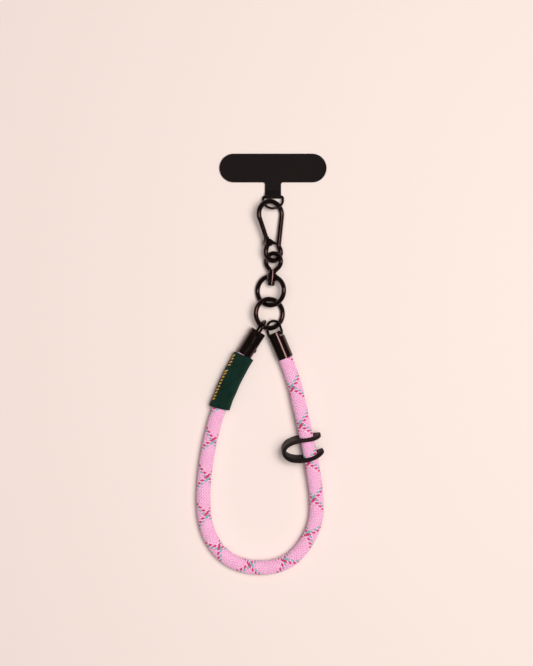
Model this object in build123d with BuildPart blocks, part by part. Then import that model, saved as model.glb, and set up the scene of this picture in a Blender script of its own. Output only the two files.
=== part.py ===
from build123d import *
import math
import os

# Phone wrist strap.  Millimetres, +Z up off the surface that it lies on.  The origin is the centre of
# the adhesive underside of the patch, +Y points away from the strap and +X to the right.

os.makedirs("parts", exist_ok=True)

# ---------------------------------------------------------------- driving dimensions
# patch
PATCH_LENGTH = 60.0
PATCH_WIDTH = 16.0
SHEET = 0.4
TAB_WIDTH = 9.0
TAB_TONGUE = 9.0
TAB_CORNER = 1.2
TAB_CLOSED_Y = -12.6

# D-ring, hinged on its straight bar inside the folded tab
BAR_Y = -16.0
BAR_Z = 1.25
D_WIRE = 0.7
D_HALF = 5.5
D_CORNER = 1.2
D_SIDE = 2.6
D_LIFT = 31.0
FOLD_GAP = 0.1

# carabiner, in its own plane with its origin at the centre of the top bow
CLIP_CENTRE = (-1.5, -26.2, 4.9)
CLIP_HEADING = 4.1
CLIP_TILT = 28.0
CLIP_WIRE = 1.4
CLIP_BOW = 7.2
NOSE_ANGLE = 206.0
SPINE_LEAN = 11.5
EYE_CENTRE = (0.1, -21.2)
EYE_BOW = 4.7
EYE_START = 30.0
PIVOT = (-2.88, -15.75)
GATE_END = (-6.75, -2.35)
GATE_BAR = 1.3
GATE_REACH = 13.95
BAR_CLEAR = 0.35
NECK_OVERLAP = 0.6
NOSE_GAP = 0.12
TONGUE_HALF = 0.4
TONGUE_REACH = 0.7
TONGUE_CLEAR = 0.12
LUG_RADIUS = 2.2
LUG_HALF = 1.7
KNUCKLE_HALF = 0.95
KNUCKLE_RADIUS = 1.9
COIL_HALF = 0.42
SLOT_HALF = 0.5
SLOT_REACH = 3.3
PIN = 0.65
PRESS_CLEAR = 0.01
RIVET_HEAD = 1.25
RIVET_PROUD = 0.25
PIN_PROUD_CUT = 1.0
COIL_CLEAR = 0.15
COIL_THICK = 0.55
COIL_LEG = 1.9
COIL_LEG_AT = 2.0
GATE_LEG_BACK = 8.0
# outlines about the pivot: the spur that closes the lower eye, and the room that the gate's knuckle needs
SPUR = ((0.4, 2.15), (2.0, 1.4), (5.48, -0.95), (5.48, -1.45), (2.2, -1.2), (0.6, -2.1))
FORK_ROOM = ((-4.0, 0.6), (-2.0, 4.0), (3.0, 4.0), (1.6, 0.6))
FORK_CLEAR = 0.25
# the part of the bow, near the nose, that the gate's arc may trim
NOSE_TRIM = (-7.5, -2.5)
NOSE_TRIM_SIZE = (6.0, 7.0)

# swivel: egg-shaped eye with a shank, and a ring with a drilled hub
RING_CENTRE = (-1.35, -68.8, 4.8)
RING_HEADING = -5.5
RING_TILT = -25.0
RING_BOW = 8.1
RING_WIRE = 1.35
HUB_RADIUS = 2.8
HUB_FOOT = 5.2
HUB_TOP = 9.5
SHANK = 1.1
SHANK_BORE = 1.18
NECK_RADIUS = 2.1
NECK_TOP = 10.9
EGG_WIRE = 1.25
EGG_BOW = 4.6
EGG_CENTRE = 16.3
PEEN_RADIUS = 2.05
PEEN_FOOT = 2.7
PEEN_EDGE = 0.8
FOOT_SPREAD = 0.7
END_GAP = 0.1

# plain O-ring
LINK_CENTRE = (-2.1, -81.6, 4.6)
LINK_TILT = 23.0

# cord ends
CAP_Z = 4.75
CAP_RADIUS = 4.5
CAP_BORE = 4.05
CAP_LENGTH = 15.5
CAP_SOLID = 3.2
CAP_EDGE = 0.2
FLAT_AT = 3.2
FLAT_DEPTH = 3.0
FLAT_CUT = 4.0
PIN_DEPTH = 1.5
BAIL_WIRE = 0.7
BAIL_HALF = 4.05
BAIL_LEG = 4.2
BAIL_BEND = 0.9
BAIL_PIN_END = 2.3
PIN_CLEAR = 0.07
SCREW_RADIUS = 1.0
SCREW_AT = 10.5
SCREW_PROUD = 0.4
SCREW_LENGTH = 0.85
SOCKET_RADIUS = 0.5
SOCKET_DEPTH = 0.5

RIGHT_TOP = (1.07, -92.2, CAP_Z)
RIGHT_HEADING = 22.5
RIGHT_ROLL = 20.0
RIGHT_DIP = 12.0
RIGHT_SCREW = 232.0
LEFT_TOP = (-8.1, -91.4, CAP_Z)
LEFT_HEADING = -32.0
LEFT_ROLL = 78.0
LEFT_DIP = 0.0
LEFT_SCREW = 0.0

# rope
ROPE = 4.0
CORE = 2.7
CORE_GAP = 0.05
REST_Z = ROPE + 0.05
BORE_BOTTOM = CAP_SOLID + 0.1
FIRST_RUN = 26.5
CORNER_SHARE = 0.45
# corners of the loop between the two caps, from the right one round to the left one
LOOP = (
    (15.31, -135.8, 6.0),
    (21.22, -161.96, 6.5),
    (24.86, -185.57, 4.9),
    (23.31, -202.14, REST_Z),
    (11.12, -219.95, REST_Z),
    (-6.91, -224.63, REST_Z),
    (-25.88, -219.79, REST_Z),
    (-37.71, -203.65, REST_Z),
    (-39.58, -179.67, REST_Z),
    (-34.47, -145.64, REST_Z),
)

# label sleeve on the rope
LABEL_START = 0.9
LABEL_LENGTH = 31.2
LABEL_HALF_WIDTH = 5.7
LABEL_HALF_HEIGHT = 4.55
LABEL_BORE = 4.2

# keeper strap, folded round and pierced twice for the rope; its plan has y up along the rope
KEEPER_AT = (19.75, -156.9)
KEEPER_HEADING = 11.4
KEEPER_LEAN = 9.0
STRAP_RISE = 12.4
STRAP_HALF = 1.0
KEEPER_PLAN = (
    (8.2, 6.6), (2.0, 6.0), (-3.6, 6.3), (-8.6, 5.9), (-12.6, 4.2), (-14.1, 1.6),
    (-13.2, -1.2), (-9.8, -3.6), (-4.1, -4.8), (1.8, -4.4), (7.9, -2.4),
)
EAR_TIP = 8.0
KEEPER_BORE = 4.4
KEEPER_REACH = 12.0


def turned(origin, heading, tilt):
    """The plane at origin, turned by heading about Z, then tilted by tilt about its own Y axis."""
    lean = Vector(0, 0, 1).rotate(Axis.Y, tilt).rotate(Axis.Z, heading)
    across = Vector(1, 0, 0).rotate(Axis.Y, tilt).rotate(Axis.Z, heading)
    return Plane(origin=origin, x_dir=across, z_dir=lean)


def along(plane, x, y, direction):
    """A plane at (x, y) of the given plane, whose normal is that plane's own (dx, dy) direction."""
    normal = plane.x_dir * direction[0] + plane.y_dir * direction[1]
    return Plane(origin=plane.from_local_coords((x, y, 0)), x_dir=plane.z_dir, z_dir=normal)


def finish(piece, name):
    piece.part.label = name
    export_step(piece.part, f"parts/{name}.step")


# ---------------------------------------------------------------- patch
backing_top = SHEET * 0.75
core_top = backing_top + SHEET
face_top = core_top + SHEET

with BuildPart() as patch_backing:
    with BuildSketch():
        SlotOverall(PATCH_LENGTH, PATCH_WIDTH)
    extrude(amount=backing_top)
finish(patch_backing, "patch_backing")

with BuildPart() as patch_core:
    with BuildSketch(Plane.XY.offset(backing_top)):
        SlotOverall(PATCH_LENGTH, PATCH_WIDTH)
        with Locations((0, -PATCH_WIDTH / 2)):
            Rectangle(TAB_WIDTH, 2 * TAB_TONGUE, mode=Mode.SUBTRACT)
    extrude(amount=SHEET)
finish(patch_core, "patch_core")

fold_inner = D_WIRE + FOLD_GAP
fold_outer = fold_inner + SHEET
with BuildPart() as patch_face:
    with BuildSketch(Plane.XY.offset(core_top)):
        SlotOverall(PATCH_LENGTH, PATCH_WIDTH)
    extrude(amount=SHEET)
    # The tab leaves the edge, wraps round the bar and comes back as a tongue inside the laminate.
    with BuildSketch(Plane.YZ.offset(-TAB_WIDTH / 2)):
        tongue_end = -PATCH_WIDTH / 2 + TAB_TONGUE
        with BuildLine():
            Polyline(
                (tongue_end, backing_top), (TAB_CLOSED_Y, backing_top),
                (TAB_CLOSED_Y, face_top), (tongue_end, face_top), close=True,
            )
        make_face()
        with BuildSketch(mode=Mode.PRIVATE) as teardrop:
            with Locations((BAR_Y, BAR_Z)):
                Circle(fold_outer)
            with Locations((TAB_CLOSED_Y, core_top)):
                Rectangle(0.1, 2 * SHEET)
            make_hull()
        add(teardrop.sketch)
        with BuildSketch(mode=Mode.PRIVATE) as pocket:
            with Locations((BAR_Y, BAR_Z)):
                Circle(fold_inner)
            with Locations((TAB_CLOSED_Y - fold_outer, core_top)):
                Circle(FOLD_GAP)
            make_hull()
        add(pocket.sketch, mode=Mode.SUBTRACT)
    extrude(amount=TAB_WIDTH)
    # small rounded corners where the tab leaves the pill
    for side in (-1, 1):
        with BuildSketch(Plane.XY.offset(core_top)):
            corner = Vector(side * TAB_WIDTH / 2, -PATCH_WIDTH / 2)
            with Locations((corner.X + side * TAB_CORNER / 2, corner.Y - TAB_CORNER / 2 + SHEET / 4)):
                Rectangle(TAB_CORNER, TAB_CORNER + SHEET / 2)
            with Locations((corner.X + side * TAB_CORNER, corner.Y - TAB_CORNER)):
                Circle(TAB_CORNER, mode=Mode.SUBTRACT)
        extrude(amount=SHEET)
finish(patch_face, "patch_face")

# ---------------------------------------------------------------- D-ring
d_plane = Plane(origin=(0, BAR_Y, BAR_Z), x_dir=(1, 0, 0), z_dir=Vector(0, 0, 1).rotate(Axis.X, -D_LIFT))
with BuildPart() as d_ring:
    with BuildLine(d_plane):
        straight = Line((-D_HALF + D_CORNER, 0), (D_HALF - D_CORNER, 0))
        RadiusArc(straight @ 1, (D_HALF, -D_CORNER), D_CORNER)
        Line((D_HALF, -D_CORNER), (D_HALF, -D_SIDE))
        CenterArc((0, -D_SIDE), D_HALF, 0, -180)
        Line((-D_HALF, -D_SIDE), (-D_HALF, -D_CORNER))
        RadiusArc((-D_HALF, -D_CORNER), straight @ 0, D_CORNER)
    with BuildSketch(Plane(origin=(0, BAR_Y, BAR_Z), z_dir=(1, 0, 0))):
        Circle(D_WIRE)
    sweep()
finish(d_ring, "d_ring")

# ---------------------------------------------------------------- carabiner
clip = turned(CLIP_CENTRE, CLIP_HEADING, CLIP_TILT)


def on_circle(centre, radius, angle):
    turn = math.radians(angle)
    return (centre[0] + radius * math.cos(turn), centre[1] + radius * math.sin(turn))


def heading_at(angle):
    """Clockwise direction of travel on a circle at an angle."""
    turn = math.radians(angle)
    return (math.sin(turn), -math.cos(turn))


nose = on_circle((0, 0), CLIP_BOW, NOSE_ANGLE)
bow_end = on_circle((0, 0), CLIP_BOW, -SPINE_LEAN)
eye_start = on_circle(EYE_CENTRE, EYE_BOW, EYE_START)
spine_way = heading_at(-SPINE_LEAN)
eye_way = heading_at(EYE_START)

# The spine's line and the eye's first tangent meet at the waist.
gap = (eye_start[0] - bow_end[0], eye_start[1] - bow_end[1])
cross = spine_way[0] * eye_way[1] - spine_way[1] * eye_way[0]
spine_run = (gap[0] * eye_way[1] - gap[1] * eye_way[0]) / cross
waist = (bow_end[0] + spine_run * spine_way[0], bow_end[1] + spine_run * spine_way[1])
waist_leg = math.dist(waist, eye_start)
waist_start = (waist[0] - waist_leg * spine_way[0], waist[1] - waist_leg * spine_way[1])
waist_radius = waist_leg / math.tan(math.radians((SPINE_LEAN + EYE_START) / 2))

# The eye ends where its tangent runs straight to the pivot.
to_pivot = math.dist(EYE_CENTRE, PIVOT)
pivot_angle = math.degrees(math.atan2(PIVOT[1] - EYE_CENTRE[1], PIVOT[0] - EYE_CENTRE[0]))
eye_end_angle = pivot_angle + math.degrees(math.acos(EYE_BOW / to_pivot))
eye_end = on_circle(EYE_CENTRE, EYE_BOW, eye_end_angle)

with BuildPart() as carabiner_body:
    with BuildLine(clip):
        CenterArc((0, 0), CLIP_BOW, NOSE_ANGLE, -(NOSE_ANGLE + SPINE_LEAN))
        Line(bow_end, waist_start)
        RadiusArc(waist_start, eye_start, -waist_radius)
        CenterArc(EYE_CENTRE, EYE_BOW, EYE_START, -(EYE_START + 360 - eye_end_angle))
        Line(eye_end, PIVOT)
    nose_way = heading_at(NOSE_ANGLE)
    with BuildSketch(along(clip, nose[0], nose[1], nose_way)):
        Circle(CLIP_WIRE)
    sweep()
    # lug round the pivot
    with BuildSketch(clip.offset(-LUG_HALF)):
        with Locations(PIVOT):
            Circle(LUG_RADIUS)
    extrude(amount=2 * LUG_HALF)
    # spur that closes the lower eye
    with BuildSketch(clip.offset(-CLIP_WIRE)):
        with BuildLine():
            Polyline(*[(PIVOT[0] + x, PIVOT[1] + y) for x, y in SPUR], close=True)
        make_face()
    extrude(amount=2 * CLIP_WIRE)
    # fork for the gate's knuckle, and room below it for the anchored leg of the spring
    with BuildSketch(clip.offset(-KNUCKLE_HALF - END_GAP)):
        with Locations(PIVOT):
            Circle(KNUCKLE_RADIUS + FORK_CLEAR)
        with BuildLine():
            Polyline(*[(PIVOT[0] + x, PIVOT[1] + y) for x, y in FORK_ROOM], close=True)
        make_face()
    extrude(amount=2 * (KNUCKLE_HALF + END_GAP), mode=Mode.SUBTRACT)
    foot_way = (eye_end[0] - PIVOT[0], eye_end[1] - PIVOT[1])
    foot_angle = math.degrees(math.atan2(foot_way[1], foot_way[0]))
    with BuildSketch(clip.offset(-SLOT_HALF)):
        with Locations(Location((PIVOT[0], PIVOT[1], 0), foot_angle)):
            with Locations((SLOT_REACH / 2, 0)):
                Rectangle(SLOT_REACH, 2 * SLOT_HALF)
    extrude(amount=2 * SLOT_HALF, mode=Mode.SUBTRACT)
    with BuildSketch(clip.offset(-LUG_HALF - PIN_PROUD_CUT)):
        with Locations(PIVOT):
            Circle(PIN + PRESS_CLEAR)
    extrude(amount=2 * (LUG_HALF + PIN_PROUD_CUT), mode=Mode.SUBTRACT)
    # the nose ends on an arc round the pivot, so that the gate swings past it, and keeps a thin tongue
    for foot, top, reach in (
        (-LUG_HALF, -TONGUE_HALF, GATE_REACH + NOSE_GAP),
        (-TONGUE_HALF, TONGUE_HALF, GATE_REACH - TONGUE_REACH),
        (TONGUE_HALF, LUG_HALF, GATE_REACH + NOSE_GAP),
    ):
        with BuildSketch(clip.offset(foot)):
            with Locations(PIVOT):
                Circle(reach)
            with Locations(NOSE_TRIM):
                Rectangle(*NOSE_TRIM_SIZE, mode=Mode.INTERSECT)
        extrude(amount=top - foot, mode=Mode.SUBTRACT)
finish(carabiner_body, "carabiner_body")

gate_way = (GATE_END[0] - PIVOT[0], GATE_END[1] - PIVOT[1])
gate_length = math.hypot(*gate_way)
gate_way = (gate_way[0] / gate_length, gate_way[1] / gate_length)
gate_angle = math.degrees(math.atan2(gate_way[1], gate_way[0]))
with BuildPart() as carabiner_gate:
    bar_start = LUG_RADIUS + BAR_CLEAR
    start = (PIVOT[0] + bar_start * gate_way[0], PIVOT[1] + bar_start * gate_way[1])
    with BuildSketch(along(clip, start[0], start[1], gate_way)):
        Circle(GATE_BAR)
    extrude(amount=GATE_REACH - bar_start + 1)
    with BuildSketch(clip.offset(-KNUCKLE_HALF)):
        with Locations(PIVOT):
            Circle(KNUCKLE_RADIUS)
        with Locations(Location((PIVOT[0], PIVOT[1], 0), gate_angle)):
            with Locations(((bar_start + NECK_OVERLAP) / 2, 0)):
                Rectangle(bar_start + NECK_OVERLAP, 2 * GATE_BAR - 0.1)
    extrude(amount=2 * KNUCKLE_HALF)
    # the far end follows an arc round the pivot
    with BuildSketch(clip.offset(-LUG_HALF)):
        with Locations(PIVOT):
            Circle(GATE_REACH)
    extrude(amount=2 * LUG_HALF, mode=Mode.INTERSECT)
    # slots for the spring's leg at the knuckle and for the nose's tongue at the far end
    with BuildSketch(clip.offset(-SLOT_HALF)):
        with Locations(PIVOT):
            Circle(GATE_REACH + NOSE_GAP)
            Circle(GATE_REACH - TONGUE_REACH - TONGUE_CLEAR, mode=Mode.SUBTRACT)
            Circle(SLOT_REACH)
    extrude(amount=2 * SLOT_HALF, mode=Mode.SUBTRACT)
    with BuildSketch(clip.offset(-KNUCKLE_HALF - PIN_PROUD_CUT)):
        with Locations(PIVOT):
            Circle(PIN + PIN_CLEAR)
    extrude(amount=2 * (KNUCKLE_HALF + PIN_PROUD_CUT), mode=Mode.SUBTRACT)
finish(carabiner_gate, "carabiner_gate")

with BuildPart() as gate_pin:
    with BuildSketch(clip.offset(-LUG_HALF - RIVET_PROUD)):
        with Locations(PIVOT):
            Circle(PIN)
    extrude(amount=2 * (LUG_HALF + RIVET_PROUD))
    for side in (-1, 1):
        head = clip.offset(side * LUG_HALF)
        with BuildSketch(head):
            with Locations(PIVOT):
                Circle(RIVET_HEAD)
        extrude(amount=side * RIVET_PROUD)
finish(gate_pin, "gate_pin")

with BuildPart() as gate_spring:
    with BuildSketch(clip.offset(-COIL_HALF)):
        with Locations(PIVOT):
            Circle(PIN + COIL_CLEAR + COIL_THICK)
            Circle(PIN + COIL_CLEAR, mode=Mode.SUBTRACT)
    extrude(amount=2 * COIL_HALF)
    for leg_angle in (foot_angle, gate_angle - GATE_LEG_BACK):
        with BuildSketch(clip.offset(-COIL_HALF / 2)):
            with Locations(Location((PIVOT[0], PIVOT[1], 0), leg_angle)):
                with Locations((COIL_LEG_AT, 0)):
                    Rectangle(COIL_LEG, COIL_HALF)
        extrude(amount=COIL_HALF)
finish(gate_spring, "gate_spring")

# ---------------------------------------------------------------- swivel
swivel = turned(RING_CENTRE, RING_HEADING, RING_TILT)

with BuildPart() as swivel_ring:
    with BuildSketch(along(swivel, RING_BOW, 0, (0, 1))):
        Circle(RING_WIRE)
    revolve(axis=Axis(swivel.origin, swivel.z_dir))
    with BuildSketch(along(swivel, 0, HUB_FOOT, (0, 1))):
        Circle(HUB_RADIUS)
    extrude(amount=HUB_TOP - HUB_FOOT)
    with BuildSketch(along(swivel, 0, HUB_FOOT - 1, (0, 1))):
        Circle(SHANK_BORE)
    extrude(amount=HUB_TOP - HUB_FOOT + 2, mode=Mode.SUBTRACT)
finish(swivel_ring, "swivel_ring")

with BuildPart() as swivel_eye:
    # egg: a bow at the top, with two straight sides that run tangent into the neck
    foot_shift = EGG_WIRE * FOOT_SPREAD
    side_angle = math.degrees(math.acos((EGG_BOW - foot_shift) / (EGG_CENTRE - NECK_TOP))) - 90
    side_end = on_circle((0, EGG_CENTRE), EGG_BOW, side_angle)
    side_foot = on_circle((0, NECK_TOP), foot_shift, side_angle)
    with BuildLine(swivel):
        CenterArc((0, EGG_CENTRE), EGG_BOW, side_angle, 180 - 2 * side_angle)
    side_way = (side_end[0] - side_foot[0], side_end[1] - side_foot[1])
    with BuildSketch(along(swivel, side_end[0], side_end[1], side_way)):
        Circle(EGG_WIRE)
    sweep()
    for hand in (-1, 1):
        with BuildSketch(along(swivel, hand * side_foot[0], side_foot[1], (hand * side_way[0], side_way[1]))):
            Circle(EGG_WIRE)
        extrude(amount=math.hypot(*side_way))
    neck_foot = HUB_TOP + END_GAP
    with BuildSketch(along(swivel, 0, neck_foot, (0, 1))):
        Circle(NECK_RADIUS)
    extrude(amount=NECK_TOP - neck_foot + EGG_WIRE * 0.4)
    head_top = HUB_FOOT - END_GAP
    with BuildSketch(along(swivel, 0, head_top - 1, (0, 1))):
        Circle(SHANK)
    extrude(amount=neck_foot - head_top + 2)
    with BuildSketch(along(swivel, 0, PEEN_FOOT, (0, 1))):
        Circle(PEEN_RADIUS)
    extrude(amount=head_top - PEEN_FOOT)
    head_rim = swivel_eye.edges().filter_by(GeomType.CIRCLE)
    head_rim = head_rim.filter_by(lambda e: abs(e.radius - PEEN_RADIUS) < 0.001)
    fillet(head_rim.sort_by(Axis(swivel.origin, swivel.y_dir))[0], PEEN_EDGE)
finish(swivel_eye, "swivel_eye")

# ---------------------------------------------------------------- O-ring
link = turned(LINK_CENTRE, 0, LINK_TILT)
with BuildPart() as o_ring:
    with BuildSketch(along(link, RING_BOW, 0, (0, 1))):
        Circle(RING_WIRE)
    revolve(axis=Axis(link.origin, link.z_dir))
finish(o_ring, "o_ring")

# ---------------------------------------------------------------- cord ends
# Each cap's plane lies across its two flats: x is across the flats and y points out of the rope.
for side, top, heading, roll, dip, screw_turn in (
    ("right", RIGHT_TOP, RIGHT_HEADING, RIGHT_ROLL, RIGHT_DIP, RIGHT_SCREW),
    ("left", LEFT_TOP, LEFT_HEADING, LEFT_ROLL, LEFT_DIP, LEFT_SCREW),
):
    cap_plane = turned(top, heading, -roll)
    axis_plane = along(cap_plane, 0, -CAP_LENGTH, (0, 1))
    with BuildPart() as cap:
        with BuildSketch(axis_plane):
            Circle(CAP_RADIUS)
        extrude(amount=CAP_LENGTH)
        chamfer(cap.edges().filter_by(GeomType.CIRCLE), CAP_EDGE)
        with BuildSketch(axis_plane):
            Circle(CAP_BORE)
        extrude(amount=CAP_LENGTH - CAP_SOLID, mode=Mode.SUBTRACT)
        with BuildSketch(along(cap_plane, 0, -FLAT_DEPTH, (0, 1))):
            for hand in (-1, 1):
                with Locations((0, hand * (FLAT_AT + FLAT_CUT / 2))):
                    Rectangle(3 * CAP_RADIUS, FLAT_CUT)
        extrude(amount=FLAT_DEPTH + 1, mode=Mode.SUBTRACT)
        for hand in (-1, 1):
            with BuildSketch(along(cap_plane, hand * (BAIL_PIN_END - 0.1), -PIN_DEPTH, (hand, 0))):
                Circle(BAIL_WIRE + PIN_CLEAR)
            extrude(amount=CAP_RADIUS, mode=Mode.SUBTRACT)
        # threaded hole for the set screw
        screw_plane = turned(top, heading, -screw_turn)
        screw_face = along(screw_plane, CAP_RADIUS + SCREW_PROUD, -SCREW_AT, (-1, 0))
        with BuildSketch(screw_face):
            Circle(SCREW_RADIUS)
        extrude(amount=SCREW_LENGTH + 0.5, mode=Mode.SUBTRACT)
    finish(cap, f"cap_{side}")

    with BuildPart() as cap_screw:
        with BuildSketch(screw_face):
            Circle(SCREW_RADIUS - 0.01)
        extrude(amount=SCREW_LENGTH)
        with BuildSketch(screw_face):
            RegularPolygon(SOCKET_RADIUS, 6)
        extrude(amount=SOCKET_DEPTH, mode=Mode.SUBTRACT)
    finish(cap_screw, f"cap_screw_{side}")

    # the bail is a U of wire whose two feet turn in to form its hinge pins
    pin_line = along(cap_plane, 0, -PIN_DEPTH, (1, 0))
    bail_up = cap_plane.y_dir.rotate(Axis((0, 0, 0), cap_plane.x_dir), -dip)
    bail_plane = Plane(origin=pin_line.origin, x_dir=cap_plane.x_dir, z_dir=cap_plane.x_dir.cross(bail_up))
    with BuildPart() as bail:
        with BuildLine(bail_plane):
            Line((-BAIL_PIN_END, 0), (-BAIL_HALF + BAIL_BEND, 0))
            RadiusArc((-BAIL_HALF + BAIL_BEND, 0), (-BAIL_HALF, BAIL_BEND), BAIL_BEND)
            Line((-BAIL_HALF, BAIL_BEND), (-BAIL_HALF, BAIL_LEG))
            CenterArc((0, BAIL_LEG), BAIL_HALF, 180, -180)
            Line((BAIL_HALF, BAIL_LEG), (BAIL_HALF, BAIL_BEND))
            RadiusArc((BAIL_HALF, BAIL_BEND), (BAIL_HALF - BAIL_BEND, 0), BAIL_BEND)
            Line((BAIL_HALF - BAIL_BEND, 0), (BAIL_PIN_END, 0))
        with BuildSketch(along(bail_plane, -BAIL_PIN_END, 0, (-1, 0))):
            Circle(BAIL_WIRE)
        sweep()
    finish(bail, f"bail_{side}")

# ---------------------------------------------------------------- rope
# The route starts at the bottom of the right cap's bore and ends at the bottom of the left one's.


def down_cap(top, heading, distance):
    turn = math.radians(heading)
    return (top[0] + distance * math.sin(turn), top[1] - distance * math.cos(turn), top[2])


route = [
    down_cap(RIGHT_TOP, RIGHT_HEADING, BORE_BOTTOM),
    down_cap(RIGHT_TOP, RIGHT_HEADING, FIRST_RUN),
    *LOOP,
    down_cap(LEFT_TOP, LEFT_HEADING, FIRST_RUN),
    down_cap(LEFT_TOP, LEFT_HEADING, BORE_BOTTOM),
]


def runs_of(points):
    return [Vector(*b) - Vector(*a) for a, b in zip(points, points[1:])]


def arc_radii(points):
    """Each corner's radius: a set share of the shorter run over the tangent of half the turn."""
    runs = runs_of(points)
    radii = []
    for before, after in zip(runs, runs[1:]):
        turn = math.radians(before.get_angle(after))
        radii.append(CORNER_SHARE * min(before.length, after.length) / math.tan(turn / 2))
    return radii


radii = arc_radii(route)
print("runs", [round(r.length, 1) for r in runs_of(route)])
print("turns", [round(a.get_angle(b), 1) for a, b in zip(runs_of(route), runs_of(route)[1:])])
print("radii", [round(r, 1) for r in radii])

rope_start = runs_of(route)[0]
start_plane = Plane(origin=route[0], z_dir=rope_start)

with BuildPart() as rope_sheath:
    with BuildLine() as rope_path:
        FilletPolyline(*route, radius=radii)
    with BuildSketch(start_plane):
        Circle(ROPE)
        Circle(CORE + CORE_GAP, mode=Mode.SUBTRACT)
    sweep()
finish(rope_sheath, "rope_sheath")

with BuildPart() as rope_core:
    with BuildLine():
        FilletPolyline(*route, radius=radii)
    with BuildSketch(start_plane):
        Circle(CORE)
    sweep()
finish(rope_core, "rope_core")

rope_line = rope_path.wires()[0]
rope_length = rope_line.length
sheath_section = math.pi * (ROPE**2 - (CORE + CORE_GAP) ** 2)
print("rope length", round(rope_length, 1))
print("sheath volume over section x length", round(rope_sheath.part.volume / sheath_section / rope_length, 4))
core_section = math.pi * CORE**2
print("core volume over section x length", round(rope_core.part.volume / core_section / rope_length, 4))

# ---------------------------------------------------------------- label sleeve
# A creased woven sleeve, sewn flat beside the rope on both sides.
label_end = rope_length - (CAP_LENGTH - BORE_BOTTOM) - LABEL_START
label_mid = label_end - LABEL_LENGTH / 2


def route_point(distance):
    return rope_line.position_at(distance / rope_length)


label_from = route_point(label_end)
with BuildPart() as label_sleeve:
    with BuildLine() as label_line:
        ThreePointArc(label_from, route_point(label_mid), route_point(label_end - LABEL_LENGTH))
    label_way = label_line.line % 0
    label_across = Vector(0, 0, 1).cross(label_way)
    with BuildSketch(Plane(origin=label_from, x_dir=label_across, z_dir=label_way)):
        with BuildLine():
            ThreePointArc((-LABEL_HALF_WIDTH, 0), (0, LABEL_HALF_HEIGHT), (LABEL_HALF_WIDTH, 0))
            ThreePointArc((LABEL_HALF_WIDTH, 0), (0, -LABEL_HALF_HEIGHT), (-LABEL_HALF_WIDTH, 0))
        make_face()
        Circle(LABEL_BORE, mode=Mode.SUBTRACT)
    sweep()
finish(label_sleeve, "label_sleeve")

# ---------------------------------------------------------------- keeper
keeper_nearest = min((route_point(i / 4) for i in range(int(rope_length * 2))),
                     key=lambda p: math.dist((p.X, p.Y), KEEPER_AT))
keeper = turned((keeper_nearest.X, keeper_nearest.Y, keeper_nearest.Z), KEEPER_HEADING, 0)
print("keeper at", [round(v, 2) for v in keeper_nearest], "heading", KEEPER_HEADING)
lean_way = Vector(0, 0, 1).rotate(Axis.X, KEEPER_LEAN).rotate(Axis.Z, KEEPER_HEADING)
keeper_foot = Plane(
    origin=keeper.origin - lean_way * (STRAP_RISE / 2 / lean_way.Z),
    x_dir=keeper.x_dir, z_dir=keeper.z_dir,
)


def strap_edge(plan, offset):
    """Points on the strap's face at a distance from its middle line, spaced evenly along it."""
    count = 4 * len(KEEPER_PLAN)
    edge = []
    for i in range(count + 1):
        way = plan.tangent_at(i / count)
        place = plan.position_at(i / count)
        edge.append((place.X - way.Y * offset, place.Y + way.X * offset))
    return edge


plan_line = Spline(*KEEPER_PLAN)
outer_edge = strap_edge(plan_line, -STRAP_HALF)
inner_edge = strap_edge(plan_line, STRAP_HALF)
with BuildPart() as keeper_strap:
    with BuildSketch(keeper_foot):
        with BuildLine():
            Spline(*outer_edge)
            Line(outer_edge[-1], inner_edge[-1])
            Spline(*inner_edge[::-1])
            Line(inner_edge[0], outer_edge[0])
        make_face()
    extrude(amount=STRAP_RISE / lean_way.Z, dir=lean_way)
    # both ears end in a half round and are pierced, seen along the rope
    rope_view = Plane(origin=keeper.origin, x_dir=keeper.x_dir, z_dir=keeper.y_dir)
    back = 2 * KEEPER_REACH
    with BuildSketch(rope_view.offset(-KEEPER_REACH)):
        with Locations(((EAR_TIP - back) / 2, 0)):
            SlotOverall(EAR_TIP + back, STRAP_RISE)
        Circle(KEEPER_BORE, mode=Mode.SUBTRACT)
    extrude(amount=2 * KEEPER_REACH, mode=Mode.INTERSECT)
    keeper_box = keeper_strap.part.bounding_box()
    print("keeper from z", round(keeper_box.min.Z, 2), "to", round(keeper_box.max.Z, 2))
finish(keeper_strap, "keeper_strap")
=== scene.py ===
import math
import random

import bpy
import numpy as np
from bpy.props import FloatProperty, FloatVectorProperty, IntProperty, PointerProperty
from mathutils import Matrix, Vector


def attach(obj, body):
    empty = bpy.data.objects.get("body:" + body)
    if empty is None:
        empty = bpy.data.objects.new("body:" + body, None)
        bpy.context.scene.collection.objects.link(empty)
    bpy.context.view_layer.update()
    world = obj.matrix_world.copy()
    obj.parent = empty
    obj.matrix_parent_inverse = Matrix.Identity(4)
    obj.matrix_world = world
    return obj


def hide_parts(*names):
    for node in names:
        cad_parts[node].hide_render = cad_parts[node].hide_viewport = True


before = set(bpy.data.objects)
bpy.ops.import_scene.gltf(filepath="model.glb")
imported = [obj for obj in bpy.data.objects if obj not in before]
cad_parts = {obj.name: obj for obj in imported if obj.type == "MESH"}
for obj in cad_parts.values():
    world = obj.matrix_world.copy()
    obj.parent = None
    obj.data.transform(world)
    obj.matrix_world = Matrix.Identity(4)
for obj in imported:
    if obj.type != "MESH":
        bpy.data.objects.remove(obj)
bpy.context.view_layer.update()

bl_info = {
    "name": "Phone Wrist Strap",
    "version": (1, 0, 0),
    "blender": (4, 5, 0),
    "location": "View3D > Sidebar > Strap",
    "description": "Braided rope wrist strap with plated fittings, a woven label and a leather keeper",
    "category": "Add Mesh",
}

MM = 0.001

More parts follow.
